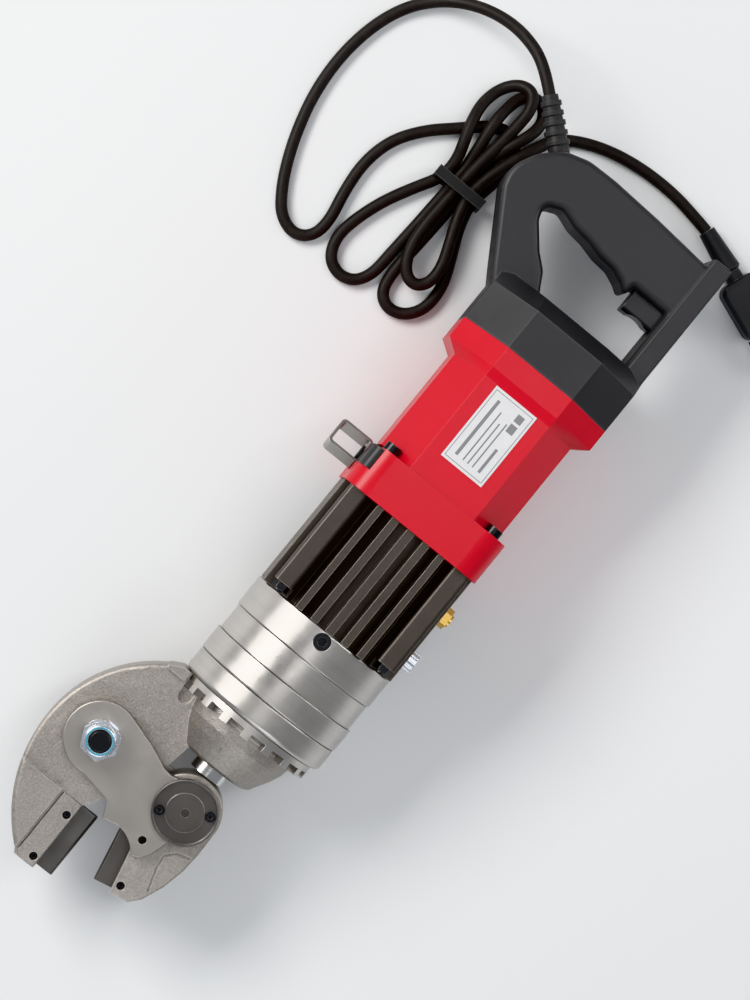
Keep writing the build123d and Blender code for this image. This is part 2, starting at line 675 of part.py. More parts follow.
keep("housing_screws", long_screws())
keep("motor_housing", motor_housing())
keep("motor_end_plate", end_plate())
keep("armature_shaft", armature_shaft())
keep("armature_core", armature_core())
keep("commutator", commutator())
keep("cooling_fan", cooling_fan())
keep("stator_core", stator_core())
keep("field_coils", field_coils())
keep("brush_gear", brush_gear())
keep("shaft_bearings", shaft_bearings())
keep("rating_label", block(106.2, 151.4, -13.2, 13.2, MOTOR_Z + 0.02, MOTOR_Z + 0.32))

# ---- hanger --------------------------------------------------------------------------------------
HANGER_X = 82.0
HANGER_TURN = 27.0


def hanger_loop():
    """Flat steel strap bent into a closed rectangular loop, turned a little on its pin."""
    outer = fillet(Rectangle(16.4, 20.4).vertices(), 2.6)
    inner = fillet(Rectangle(13.2, 17.2).vertices(), 1.2)
    strap = extrude(outer - inner, 5, both=True)
    strap = Pos(HANGER_X, 51.3, 0) * Rot(0, HANGER_TURN, 0) * strap
    return strap - rod_y(38, 46, 3 + RUN, HANGER_X)


def hanger_bracket():
    """Dark clamp let into the collar, with the pin that the loop turns on."""
    body = block(77.5, 89.9, 36.5, 42.3, -40.2, 40.2)
    ends = body.edges().filter_by(Axis.X).filter_by(lambda e: e.center().Y > 40)
    body = soften(body, ends, [5.0, 3.0])
    body -= rod_y(40.8, 50, 10.4, HANGER_X)
    pin = rod_y(38, 43.2, 3.0, HANGER_X) + rod_y(43.1, 44.6, 4.8, HANGER_X)
    return body - rod_y(30, 44, 3.0, HANGER_X) + pin


keep("hanger_loop", hanger_loop())
keep("hanger_bracket", hanger_bracket())

# ---- handle --------------------------------------------------------------------------------------
TRIGGER = (226.3, 246.0, -34.3, -14.1)
TRIGGER_TRAVEL = 5.0
STRUT = (-46.6, -35.3)
STRUT_Z = 17.9            # half thickness of the strut, a little proud of the grip
SHELL_SCREWS = [(184, 39), (184, -39), (216, 50), (256, 62), (264, 6), (262, -41)]
RELIEF_DIR = Vector(0.66, 0.75, 0).normalized()
RELIEF_FOOT = Vector(266.0, 57.6, 0)
RELIEF_END = RELIEF_FOOT + RELIEF_DIR * 36


def rounded_polygon(corners):
    """A face from (x, y, radius) corners."""
    face = make_face(Polyline(*[(x, y) for x, y, _ in corners], close=True))
    for x, y, radius in corners:
        here = [v for v in face.vertices() if abs(v.X - x) < 0.2 and abs(v.Y - y) < 0.2]
        if radius and here:
            face = fillet(here, radius)
    return face


HANDLE_EDGE = [(186, 46.7, 0), (186, -47, 0), (277.2, -47, 2.5), (277.2, -34.8, 2.5), (271.0, -34.8, 1.5),
               (273.6, 0, 60), (274.9, 30, 60), (274.4, 47, 20), (270.0, 61.0, 16), (259.5, 71.0, 14),
               (246.5, 77.6, 18), (235.8, 74.6, 8), (200, 52, 24), (192, 46.7, 4)]
FINGER_HOLE = [(202.4, 22.0, 2.5), (202.4, -33.6, 3.0), (238.4, -33.6, 2.0), (238.4, -12.0, 1.5),
               (231.6, -10.4, 2.0), (235.4, -4.5, 5), (238.2, 2.5, 8), (238.9, 12.5, 15), (241.3, 22, 15),
               (242.2, 31.5, 10), (245.6, 42, 5), (241.5, 51.0, 5), (234, 48.4, 9), (221.7, 37.9, 15),
               (214.9, 29.9, 8), (205.4, 24.4, 1.2)]
# the hollow inside the arm and grip, and the one inside the strut
GRIP_HOLLOW = [(198, 31), (211, 34.5), (218.5, 42.5), (231, 53), (241, 56), (249, 50), (250.2, 42),
               (247, 31), (246, 22), (243.6, 12.5), (243, 3), (241, -4), (241, -12), (244, -16),
               (244, -30.6), (267.4, -30.6), (269.6, 0), (270.8, 30), (270.4, 46), (266.4, 58),
               (257.5, 67), (246.5, 72.6), (237, 70.6), (202, 48.6), (198, 46)]
STRUT_HOLLOW = [(198, -43.5), (273.4, -43.5), (273.4, -38.4), (198, -38.4)]


def handle_outline():
    """The D-handle seen from the side, with its finger opening."""
    return rounded_polygon(HANDLE_EDGE) - rounded_polygon(FINGER_HOLE)


def cap_solid(shrink, front, back):
    """The octagonal cap behind the motor, with its bevelled rear edge."""
    bevel = 194.0 - shrink
    y, z = CAP_Y - shrink, CAP_Z - shrink
    flat = FOLD - 0.4 * shrink
    straight = prism(octagon(y, z, flat, 22 - 0.4 * shrink, front), bevel - front)
    tail = loft([octagon(y, z, flat, 22 - 0.4 * shrink, bevel), octagon(y, 24, flat, 14, back)])
    return straight + tail


def handle_solid():
    grip = slab(handle_outline(), -GRIP_Z, GRIP_Z)
    for sizes, ring in (((4.0, 3.0), True), ((5.0, 3.0, 2.0), False)):
        opening = [e.center() for e in slab(rounded_polygon(FINGER_HOLE), -GRIP_Z, GRIP_Z).edges()]
        rim = [e for e in grip.faces().filter_by(Axis.Z).edges() if abs(e.center().Z) > GRIP_Z - 0.1]
        rim = [e for e in rim if any((e.center() - c).length < 0.05 for c in opening) == ring]
        grip = soften(grip, [e for e in rim if e.center().X > 196], sizes)
    strut = block(200, 276.6, *STRUT, -STRUT_Z, STRUT_Z)
    strut = soften(strut, strut.edges().filter_by(lambda e: e.center().X > 203), [1.2, 0.8])
    return grip + strut + cap_solid(0, CAP_FRONT, CAP_BACK)


def handle_cavity():
    hollow = slab(polygon(*GRIP_HOLLOW), 4.0 - GRIP_Z, GRIP_Z - 4.0)
    hollow += slab(polygon(*STRUT_HOLLOW), 4.0 - GRIP_Z, GRIP_Z - 4.0)
    return hollow + cap_solid(WALL, CAP_FRONT - 5, CAP_BACK - WALL)


def handle_shells():
    body = handle_solid()
    hollow = handle_cavity()
    for x, y in SHELL_SCREWS:
        hollow -= rod_z(-50, 50, 4.6, x, y)
    collar_seat = ring_x(177, 185, 11 + GAP, 15)
    ribs = block(177, 185, -44, 44, -1.5, 1.5) + block(177, 185, -1.5, 1.5, -41, 41)
    seat = collar_seat + (ribs - rod_x(170, 190, 12))
    body = body - hollow + (seat & cap_solid(1, CAP_FRONT, CAP_BACK))
    x0, x1, y0, y1 = TRIGGER
    body -= block(x0 - 6, x1 + TRIGGER_TRAVEL + 1.4, y0 + 0.1, y1 + 0.4, -8.5, 8.5)
    body -= RELIEF_HOLE
    for x, y in SHELL_SCREWS:
        body -= rod_z(-50, 12, 1.8, x, y)
        body -= rod_z(-50, -13.5 if x > 200 else -26, 4.0, x, y)
    near = body & block(160, 300, -60, 90, 0.02, 60)
    far = body & block(160, 300, -60, 90, -60, -0.02)
    return near, far


def along_relief(s0, s1, r0, r1=None):
    """A cone or cylinder on the strain relief's axis, between two distances from its foot."""
    plane = Plane(origin=RELIEF_FOOT + RELIEF_DIR * s0, z_dir=RELIEF_DIR)
    if r1 is None:
        return plane * Cylinder(r0, s1 - s0, align=(Align.CENTER, Align.CENTER, Align.MIN))
    return plane * Cone(r0, r1, s1 - s0, align=(Align.CENTER, Align.CENTER, Align.MIN))


def strain_relief():
    """Ribbed rubber sleeve: a collar held inside the shells, then a taper with rings."""
    body = along_relief(-7, -3, 8.0) + along_relief(-4, 8, 5.6) + along_relief(7.9, 36, 5.6, 4.4)
    for i in range(5):
        at = 9.5 + 5.2 * i
        body += along_relief(at, at + 2.4, 6.5 - 0.22 * i)
    return body


def shell_screws():
    pieces = []
    for x, y in SHELL_SCREWS:
        seat = -13.5 if x > 200 else -26
        head = rod_z(seat - 2.4, seat - GAP, 3.6, x, y)
        cross = block(x - 2, x + 2, y - 0.5, y + 0.5, -60, seat - 1.2)
        cross += block(x - 0.5, x + 0.5, y - 2, y + 2, -60, seat - 1.2)
        pieces.append(head - cross + rod_z(seat - 1, 10, 1.7, x, y))
    return group(pieces)


def trigger():
    """Finger lever with a shallow curved front; it slides straight into the grip."""
    x0, x1, y0, y1 = TRIGGER
    body = block(x0, x1, y0 + 0.6, y1, -8, 8)
    scoop = Pos(x0 - 11.2, (y0 + y1) / 2, 0) * Cylinder(12.6, 40)
    front = body.edges().filter_by(Axis.Y).filter_by(lambda e: e.center().X < x0 + 1)
    body = soften(body, front, [2.5, 1.5])
    return body - scoop


RELIEF_HOLE = along_relief(-7.2, -2.8, 8.1) + along_relief(-4, 20, 5.7)
near_shell, far_shell = handle_shells()
keep("handle_shell_near", near_shell)
keep("handle_shell_far", far_shell)
keep("handle_screws", shell_screws())
keep("trigger", trigger())
keep("switch_body", block(253.2, 267.0, -30, 0, -11, 11))
keep("strain_relief", strain_relief())

# ---- mains cord ----------------------------------------------------------------------------------
# The lead leaves the relief, comes down to the surface in one wide turn, enters the loose hank and leaves it
# again for the plug. Each list is a route by hand: straight runs joined by arcs of 0.45 of the shorter run.
LEAD = [RELIEF_END, (300.4, 96.6, -1.2), (307, 112, -8), (309.5, 128, -19), (307, 145, -30),
        (298.5, 161, -37.5), (284, 173.5, FLOOR_Z), (264, 181, FLOOR_Z), (240, 184, FLOOR_Z),
        (216, 182, FLOOR_Z), (194, 176, FLOOR_Z), (178, 169.5, FLOOR_Z), (166, 163, FLOOR_Z),
        (155.5, 155, FLOOR_Z), (151.5, 143.5, FLOOR_Z), (157.5, 134.5, FLOOR_Z), (169.5, 132.8, FLOOR_Z),
        (186, 136.5, FLOOR_Z), (205, 138.5, FLOOR_Z), (224, 134.5, FLOOR_Z), (240, 123.5, FLOOR_Z),
        (252, 110.5, FLOOR_Z)]
PLUG_CORD_Z = REST_Z + 4.8     # the cord rises a little into the plug's relief
TAIL = [(281.0, 66.0, FLOOR_Z), (288.5, 55, FLOOR_Z), (294.5, 40, FLOOR_Z), (298, 22.5, FLOOR_Z),
        (298.9, 4.5, FLOOR_Z), (297.5, -12, FLOOR_Z + 0.5), (294.3, -28, PLUG_CORD_Z)]
HANK_TOP = REST_Z + 19.0
TIE_X = 226.0
TIE_HOLE = (76.4, 104.0)


def cord_route(points):
    """The corner radii of a route: 0.45 of the shorter run over the tangent of half the turn."""
    points = [Vector(*p) if isinstance(p, tuple) else p for p in points]
    radii = []
    for before, here, after in zip(points, points[1:], points[2:]):
        turn = (here - before).get_angle(after - here)
        run = min((here - before).length, (after - here).length)
        radii.append(0.45 * run / math.tan(math.radians(turn / 2)))
    return FilletPolyline(*points, radius=radii), radii


def cord_tube(name, points):
    path, radii = cord_route(points)
    tube = sweep(Plane(origin=path @ 0, z_dir=path % 0) * Circle(CORD_R), path=path)
    expected = math.pi * CORD_R ** 2 * path.length
    print(name, "length", round(path.length, 1), "volume ratio", round(tube.volume / expected, 4),
          "radii", [round(r, 1) for r in radii])
    return tube


def hank_solid():
    """The outer shape of the loose hank: two flat lobes either side of its tie."""
    left = [(221, 104.5), (206, 116), (188, 124.5), (168, 128.8), (152, 125.5), (145.5, 113), (147.5, 100),
            (148.8, 84), (153.5, 68), (165.5, 59.8), (183, 59.8), (200, 67.5), (221, 79.0)]
    right = [(232, 77.5), (246, 70.5), (260, 63.5), (275, 61.9), (288, 70.8), (297, 83), (296, 97),
             (284, 109), (270, 115.5), (259, 116.9), (245, 104.1), (232, 101.5)]
    shape = polygon(*left, *right)
    shape = fillet(shape.vertices(), 4.0)
    return slab(shape, REST_Z, HANK_TOP)


def plug():
    """Moulded two-pin plug with its own flared relief, lying on its side."""
    along = (Vector(284.8, -54.1, 0) - Vector(294.3, -28, 0)).normalized()
    foot = Vector(294.3, -28, REST_Z + 7.0)
    start = Vector(foot.X, foot.Y, PLUG_CORD_Z)
    relief = turned([(0, 0), (0, 4.6), (24, 6.2), (25.5, 4.6), (34, 5.0), (34, 0)])
    rise = Plane(origin=start, x_dir=foot + along * 34 - start, z_dir=(along.Y, -along.X, 0))
    place = Plane(origin=foot + along * 30.5, x_dir=along, z_dir=(0, 0, 1))
    shell = fillet(Rectangle(33, 24).vertices(), 5.5)
    head = extrude(place * Pos(16.5, 0, 0) * shell, 6.9, both=True)
    head = soften(head, head.faces().filter_by(Axis.Z).edges(), [2.5, 1.5])
    pins = None
    for side in (-1, 1):
        pin = place * Pos(33 + 9, 9.5 * side, 0) * Rot(0, 90, 0) * Cylinder(2.0, 19)
        pins = pin if pins is None else pins + pin
    return rise * relief + head + pins


def cord_tie():
    """Band round the hank's waist."""
    y0, y1 = TIE_HOLE
    band = block(TIE_X - 3, TIE_X + 3, y0 - 1.8, y1 + 1.8, REST_Z + 0.05, HANK_TOP + 1.6)
    return band - block(TIE_X - 4, TIE_X + 4, y0, y1, REST_Z + 1.2, HANK_TOP)


def tied_hank():
    """The hank drawn in to fit through its tie."""
    y0, y1 = TIE_HOLE
    waist = block(TIE_X - 3.1, TIE_X + 3.1, 60, 120, REST_Z - 1, HANK_TOP + 5)
    waist -= block(TIE_X - 4, TIE_X + 4, y0 + 0.1, y1 - 0.1, REST_Z + 1.25, HANK_TOP - GAP)
    return hank_solid() - waist


keep("cord_lead", cord_tube("cord_lead", LEAD))
keep("cord_tail", cord_tube("cord_tail", TAIL))
keep("cord_hank", tied_hank())
keep("cord_tie", cord_tie())
keep("mains_plug", plug())

# ---- writing -------------------------------------------------------------------------------------
CORD_NODES = ("cord_lead", "cord_tail", "cord_hank", "cord_tie", "mains_plug", "strain_relief")
tool = [solid for name, solid in nodes.items() if name not in CORD_NODES]
low = Vector(*[min(getattr(s.bounding_box().min, k) for s in tool) for k in "XYZ"])
high = Vector(*[max(getattr(s.bounding_box().max, k) for s in tool) for k in "XYZ"])
origin = Vector((low.X + high.X) / 2, (low.Y + high.Y) / 2, low.Z)
print("tool box", low, high, "origin", origin)
os.makedirs("parts", exist_ok=True)
for name, solid in nodes.items():
    export_step(Pos(*(-origin)) * solid, f"parts/{name}.step")
print(len(nodes), "nodes")
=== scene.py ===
import json
import math
import bpy
from mathutils import Matrix, Vector


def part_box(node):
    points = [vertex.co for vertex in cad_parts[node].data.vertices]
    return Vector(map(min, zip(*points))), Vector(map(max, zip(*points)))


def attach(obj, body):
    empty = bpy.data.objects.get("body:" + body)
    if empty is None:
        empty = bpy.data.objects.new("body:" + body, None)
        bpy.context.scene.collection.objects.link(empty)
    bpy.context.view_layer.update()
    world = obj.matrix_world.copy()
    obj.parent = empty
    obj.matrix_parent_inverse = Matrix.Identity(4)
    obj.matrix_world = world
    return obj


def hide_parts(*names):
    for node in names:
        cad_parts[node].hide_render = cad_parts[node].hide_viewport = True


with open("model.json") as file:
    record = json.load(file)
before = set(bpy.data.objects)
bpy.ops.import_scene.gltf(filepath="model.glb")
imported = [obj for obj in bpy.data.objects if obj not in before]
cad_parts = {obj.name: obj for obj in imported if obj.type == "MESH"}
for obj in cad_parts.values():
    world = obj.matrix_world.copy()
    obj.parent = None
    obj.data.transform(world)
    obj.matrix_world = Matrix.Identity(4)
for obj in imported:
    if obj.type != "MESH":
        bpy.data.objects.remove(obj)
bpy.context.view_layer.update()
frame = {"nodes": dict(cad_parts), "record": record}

# A hydraulic rebar cutter on its side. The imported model's axes are used throughout, in metres. Places on the
# tool are given in the tool's own millimetres, as in the CAD: x = 0 at the back of the steel rings,
# y = z = 0 on the tool's axis, and the head towards -x.
MM = 0.001
RING_GAP = 0.1                    # the rear ring ends this far in front of x = 0
ring_low, ring_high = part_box("rear_clamp_ring")
AXIS_SHIFT = (ring_low + ring_high) / 2
AXIS_SHIFT.x = ring_high.x + RING_GAP * MM


def tool(x, y, z):
    return AXIS_SHIFT + Vector((x, y, z)) * MM


# ---- camera --------------------------------------------------------------------------------------------
CAMERA_PLACE = tool(37, 110, 1430)
SENSOR = 36.0
PICTURE_RIGHT = Vector((0.631, -0.776, 0.0))      # the way that the picture's right edge faces on the tool
PICTURE_UP = Vector((0.776, 0.631, 0.0))          # and its top edge
PICTURE_CENTRE = tool(54, 20.7, 0) + 8 * MM * PICTURE_RIGHT + 11.8 * MM * PICTURE_UP
PICTURE_HEIGHT = 0.522                            # metres across the picture's longer side, on the axis


def add_camera():
    data = bpy.data.cameras.new("camera")
    camera = bpy.data.objects.new("camera", data)
    bpy.context.scene.collection.objects.link(camera)
    back = (CAMERA_PLACE - PICTURE_CENTRE).normalized()
    right = (PICTURE_RIGHT - back * PICTURE_RIGHT.dot(back)).normalized()
    up = back.cross(right)
    turn = Matrix((right, up, back)).transposed().to_4x4()
    camera.matrix_world = Matrix.Translation(CAMERA_PLACE) @ turn
    data.sensor_width = SENSOR
    data.lens = data.sensor_width * (CAMERA_PLACE - PICTURE_CENTRE).length / PICTURE_HEIGHT
    data.clip_start, data.clip_end = 0.05, 50.0
    bpy.context.scene.camera = camera


add_camera()

# ---- cord ----------------------------------------------------------------------------------------------
FLOOR_LEVEL = -44.0               # the surface under the tool
CORD_R = 3.25
CORD_LAYER = 6.6                  # a strand that lies on another is this much higher
FLOOR_Z = FLOOR_LEVEL + CORD_R + 0.05
PLUG_CORD_Z = FLOOR_LEVEL + 4.8   # the cord rises a little into the plug's relief
RELIEF_FOOT = Vector((266, 57.6, 0))
RELIEF_ALONG = Vector((0.66, 0.75, 0)).normalized()
RELIEF_LENGTH = 36
RELIEF_END = RELIEF_FOOT + RELIEF_LENGTH * RELIEF_ALONG
# From the strain relief down to the surface, in one wide turn, into the tied hank.
LEAD = [tuple(RELIEF_END), (300.4, 96.6, -1.2), (307, 112, -8), (309.5, 128, -19), (307, 145, -30),
        (298.5, 161, -37.5), (284, 173.5, FLOOR_Z), (264, 181, FLOOR_Z), (240, 184, FLOOR_Z),
        (216, 182, FLOOR_Z), (194, 176, FLOOR_Z), (178, 169.5, FLOOR_Z), (166, 163, FLOOR_Z),
        (155.5, 155, FLOOR_Z), (151.5, 143.5, FLOOR_Z), (157.5, 134.5, FLOOR_Z), (169.5, 132.8, FLOOR_Z),
        (186, 136.5, FLOOR_Z), (205, 138.5, FLOOR_Z), (224, 134.5, FLOOR_Z), (240, 123.5, FLOOR_Z),
        (252, 110.5, FLOOR_Z)]
# The hank's lobes in order, as (x, y, layer): right of the tie, left of it, and so on.
HANK = [(262, 100.5, 0), (268, 90, 0), (264.5, 80.5, 0), (253, 75.8, 0), (240, 77.6, 0), (226, 80.5, 0),
        (212, 77.5, 0), (197, 70.5, 0), (182, 63.9, 0), (167, 62.9, 0), (156.5, 68.9, 0), (152.6, 79, 0),
        (157.5, 87.4, 0), (170, 89.5, 0), (186, 88.4, 0), (205, 87.4, 0), (226, 87.3, 0),
        (240, 87.3, 0), (252, 86.2, 0.6), (262, 82.5, 1), (272, 78.5, 1), (281, 77.2, 0.4), (289, 81, 0),
        (291.5, 88.5, 0), (286, 95.3, 0), (275, 97.4, 0.6), (265, 97.6, 1), (252, 95.8, 0.7), (240, 94.4, 0),
        (226, 94.1, 0),
        (212, 94.8, 0), (196, 95.4, 0), (178, 96.4, 0), (162, 97.0, 0), (153, 102.2, 0), (150.2, 111, 0),
        (153.8, 120, 0), (164.5, 124.6, 0), (178, 123, 0), (196, 117.2, 0), (212, 109, 0), (226, 100.9, 0),
        (238, 100.5, 0.5), (248, 104, 1), (258, 107.4, 1), (270, 109.4, 0.4), (282, 107, 0),
        (290.5, 100.5, 0.5), (291.5, 91.5, 1.1), (283, 86.5, 1.1), (270, 87, 1), (255, 88.5, 1),
        (240, 90.3, 1), (226, 90.8, 1),
        (212, 91.6, 1), (197, 92, 1), (183, 90, 1), (173, 84, 1), (170.8, 76, 1), (177, 70.4, 1),
        (188, 70.6, 1), (200, 75.3, 1), (213, 80.6, 1), (226, 84, 1),
        (239, 82, 1), (252, 78.4, 1), (264, 73.8, 0.9), (273.5, 69.8, 0.3)]
# Out of the hank and along the surface to the plug.
TAIL = [(281, 66, FLOOR_Z), (288.5, 55, FLOOR_Z), (294.5, 40, FLOOR_Z), (298, 22.5, FLOOR_Z),
        (298.9, 4.5, FLOOR_Z), (297.5, -12, FLOOR_Z + 0.5), (294.3, -28, PLUG_CORD_Z)]


def add_cord():
    """The whole lead as one smooth line: relief, hank and plug."""
    route = LEAD + [(x, y, FLOOR_Z + CORD_LAYER * layer) for x, y, layer in HANK] + TAIL
    data = bpy.data.curves.new("mains_cord", "CURVE")
    data.dimensions = "3D"
    data.bevel_depth = 1.0            # times each point's radius
    data.bevel_resolution = 6
    data.resolution_u = 8
    spline = data.splines.new("NURBS")
    spline.points.add(len(route) - 1)
    for point, place in zip(spline.points, route):
        point.co = (*tool(*place), 1.0)
        point.radius = CORD_R * MM
    spline.order_u = 3
    spline.use_endpoint_u = True
    cord = bpy.data.objects.new("mains_cord", data)
    bpy.context.scene.collection.objects.link(cord)
    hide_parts("cord_lead", "cord_hank", "cord_tail")
    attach(cord, "root")
    return cord


cord = add_cord()

# ---- stage ---------------------------------------------------------------------------------------------
FLOOR_HALF = 4.0                  # metres
FLOOR_DROP = 0.05                 # the floor is this far under the tool, so that the two don't flicker


def add_floor():
    mesh = bpy.data.meshes.new("floor")
    centre = tool(60, 20, FLOOR_LEVEL - FLOOR_DROP)
    signs = ((-1, -1), (1, -1), (1, 1), (-1, 1))
    corners = [centre + Vector((x, y, 0)) * FLOOR_HALF for x, y in signs]
    mesh.from_pydata(corners, [], [(0, 1, 2, 3)])
    floor = bpy.data.objects.new("floor", mesh)
    bpy.context.scene.collection.objects.link(floor)
    material = bpy.data.materials.new("floor")
    material.use_nodes = True
    shader = material.node_tree.nodes["Principled BSDF"]
    shader.inputs["Base Color"].default_value = (0.78, 0.79, 0.80, 1)
    shader.inputs["Roughness"].default_value = 0.75
    mesh.materials.append(material)


def add_light(name, place, target, size, power, colour):
    data = bpy.data.lights.new(name, "AREA")
    data.shape = "RECTANGLE"
    data.size, data.size_y = size
    data.energy = power
    data.color = colour
    light = bpy.data.objects.new(name, data)
    bpy.context.scene.collection.objects.link(light)
    light.location = place
    light.rotation_mode = "QUATERNION"
    light.rotation_quaternion = (target - place).to_track_quat("-Z", "Y")


def add_world():
    world = bpy.data.worlds.new("studio")
    bpy.context.scene.world = world
    world.use_nodes = True
    background = world.node_tree.nodes["Background"]
    background.inputs["Color"].default_value = (0.86, 0.88, 0.92, 1)
    background.inputs["Strength"].default_value = 0.38


add_floor()
add_world()
middle = tool(40, 10, 0)
add_light("key", tool(150, 1050, 900), middle, (0.9, 0.5), 17, (1.0, 0.98, 0.95))
add_light("fill", tool(-1000, -300, 700), middle, (0.9, 0.9), 4, (0.94, 0.97, 1.0))
add_light("strip", tool(500, -250, 1300), middle, (0.25, 1.4), 4, (1.0, 1.0, 1.0))
add_light("rim", tool(900, -800, 450), middle, (0.8, 0.4), 4, (1.0, 1.0, 1.0))

# ---- materials -----------------------------------------------------------------------------------------


class Look:
    """A material and short calls that add nodes to it. Positions in textures are the row's own, in metres."""

    def __init__(self, name, rough=0.5, metallic=0.0, **constants):
        self.material = bpy.data.materials.new(name)
        self.material.use_nodes = True
        self.tree = self.material.node_tree
        self.shader = self.tree.nodes["Principled BSDF"]
        self.set("Roughness", rough)
        self.set("Metallic", metallic)
        for socket, value in constants.items():
            self.set(socket.replace("_", " "), value)
        self.place = self.node("ShaderNodeTexCoord").outputs["Object"]

    def node(self, kind, **inputs):
        made = self.tree.nodes.new(kind)
        for socket, value in inputs.items():
            self.put(made.inputs[socket.replace("_", " ")], value)
        return made

    def put(self, socket, value):
        if isinstance(value, bpy.types.NodeSocket):
            self.tree.links.new(value, socket)
        else:
            socket.default_value = value

    def set(self, socket, value):
        self.put(self.shader.inputs[socket], value)

    def stretched(self, scale):
        mapping = self.node("ShaderNodeMapping", Vector=self.place)
        mapping.inputs["Scale"].default_value = scale
        return mapping.outputs["Vector"]

    def noise(self, scale, detail=4.0, rough=0.5, stretch=None, seed=0.0):
        made = self.tree.nodes.new("ShaderNodeTexNoise")
        made.noise_dimensions = "4D"
        self.put(made.inputs["Vector"], self.stretched(stretch) if stretch else self.place)
        self.put(made.inputs["W"], seed)
        self.put(made.inputs["Scale"], scale)
        self.put(made.inputs["Detail"], detail)
        self.put(made.inputs["Roughness"], rough)
        return made.outputs["Fac"]

    def ramp(self, value, *stops):
        """Maps a value to grey levels or colours, by (position, colour) stops."""
        made = self.node("ShaderNodeValToRGB", Fac=value)
        elements = made.color_ramp.elements
        while len(elements) < len(stops):
            elements.new(0.5)
        for element, (position, colour) in zip(elements, stops):
            element.position = position
            element.color = (*colour, 1) if isinstance(colour, tuple) else (colour, colour, colour, 1)
        return made.outputs["Color"]

    def mix(self, share, first, second):
        made = self.tree.nodes.new("ShaderNodeMix")
        made.data_type = "RGBA"
        for socket, value in (("Factor_Float", share), ("A_Color", first), ("B_Color", second)):
            target = next(i for i in made.inputs if i.identifier == socket)
            self.put(target, (*value, 1) if isinstance(value, tuple) else value)
        return next(o for o in made.outputs if o.identifier == "Result_Color")

    def math(self, operation, first, second=0.0, clamp=False):
        made = self.tree.nodes.new("ShaderNodeMath")
        made.operation = operation
        made.use_clamp = clamp
        self.put(made.inputs[0], first)
        self.put(made.inputs[1], second)
        return made.outputs["Value"]

    def edges(self, width, low=0.0, high=0.12):
        """1 along sharp edges and 0 on open faces: how far the rounded normal leaves the flat one."""
        bevel = self.tree.nodes.new("ShaderNodeBevel")
        bevel.samples = 6
        bevel.inputs["Radius"].default_value = width * MM
        flat = self.node("ShaderNodeNewGeometry").outputs["Normal"]
        dot = self.tree.nodes.new("ShaderNodeVectorMath")
        dot.operation = "DOT_PRODUCT"
        self.put(dot.inputs[0], bevel.outputs["Normal"])
        self.put(dot.inputs[1], flat)
        away = self.math("SUBTRACT", 1.0, dot.outputs["Value"])
        ranged = self.node("ShaderNodeMapRange", Value=away)
        ranged.inputs["From Min"].default_value = low
        ranged.inputs["From Max"].default_value = high
        return ranged.outputs["Result"]

    def bump(self, *layers, soft=0.3):
        """Bump layers as (height, depth in mm), over edges rounded by soft mm."""
        bevel = self.tree.nodes.new("ShaderNodeBevel")
        bevel.samples = 4
        bevel.inputs["Radius"].default_value = soft * MM
        normal = bevel.outputs["Normal"]
        for height, depth in layers:
            made = self.node("ShaderNodeBump", Height=height, Normal=normal)
            made.inputs["Distance"].default_value = depth * MM
            made.inputs["Strength"].default_value = 1.0
            normal = made.outputs["Normal"]
        self.set("Normal", normal)


def cast_steel():
    look = Look("cast_head", metallic=0.85)
    grain = look.noise(950, 4, 0.65)
    patches = look.noise(45, 3, 0.5, seed=2)
    tone = look.ramp(patches, (0.3, (0.31, 0.285, 0.26)), (0.7, (0.45, 0.42, 0.39)))
    speck = look.ramp(grain, (0.38, 0.72), (0.62, 1.06))
    sand = look.mix(look.ramp(grain, (0.32, 0.0), (0.68, 1.0)), (0.25, 0.23, 0.21), (0.52, 0.49, 0.46))
    base = look.mix(0.55, tone, sand)
    # Painted highlight: the base colour is lightened towards a pale grey along the sharp edges.
    painted_highlight = look.edges(0.9)
    look.set("Base Color", look.mix(look.math("MULTIPLY", painted_highlight, 0.75), base, (0.74, 0.71, 0.68)))
    dullness = look.math("ADD", look.math("MULTIPLY", patches, 0.6), look.math("MULTIPLY", speck, 0.2))
    look.set("Roughness", look.ramp(dullness, (0.3, 0.40), (0.75, 0.56)))
    look.bump((grain, 0.3), (look.noise(220, 3, seed=5), 0.35), soft=0.5)
    return look.material


def turned_steel(name="ring_steel", dark=(0.44, 0.42, 0.40), light=(0.60, 0.58, 0.55), rough=0.32):
    """Lathe-turned: fine rings that run round the tool's axis."""
    look = Look(name, metallic=1.0)
    cut = look.noise(1.0, 3, 0.6, stretch=(5200, 12, 12))
    bands = look.noise(1.0, 2, 0.5, stretch=(420, 6, 6), seed=3)
    smudge = look.noise(38, 4, 0.6, seed=7)
    base = look.mix(bands, dark, light)
    base = look.mix(look.math("MULTIPLY", cut, 0.35), base, (0.72, 0.70, 0.67))
    # Painted highlight: the base colour is lightened towards a pale grey along the sharp edges.
    base = look.mix(look.math("MULTIPLY", look.edges(0.5), 0.5), base, (0.82, 0.80, 0.78))
    look.set("Base Color", base)
    look.set("Roughness", look.ramp(smudge, (0.3, rough - 0.06), (0.7, rough + 0.10)))
    look.bump((cut, 0.03), (bands, 0.02), soft=0.4)
    return look.material


def flat_steel(name, dark, light, rough=0.38, grain_along=(1, 40, 1), edge_highlight=(0.78, 0.76, 0.73), size=90):
    """Plate or machined steel with a fine straight grain and a painted highlight along its edges."""
    look = Look(name, metallic=1.0)
    brushed = look.noise(size, 4, 0.65, stretch=grain_along)
    mottle = look.noise(60, 4, 0.55, seed=4)
    base = look.mix(mottle, dark, light)
    base = look.mix(look.math("MULTIPLY", brushed, 0.3), base, light)
    # Painted highlight: the base colour is lightened towards the given edge colour along the sharp edges.
    base = look.mix(look.math("MULTIPLY", look.edges(0.45), 0.6), base, edge_highlight)
    look.set("Base Color", base)
    look.set("Roughness", look.ramp(mottle, (0.25, rough - 0.07), (0.75, rough + 0.09)))
    look.bump((brushed, 0.03), soft=0.35)
    return look.material


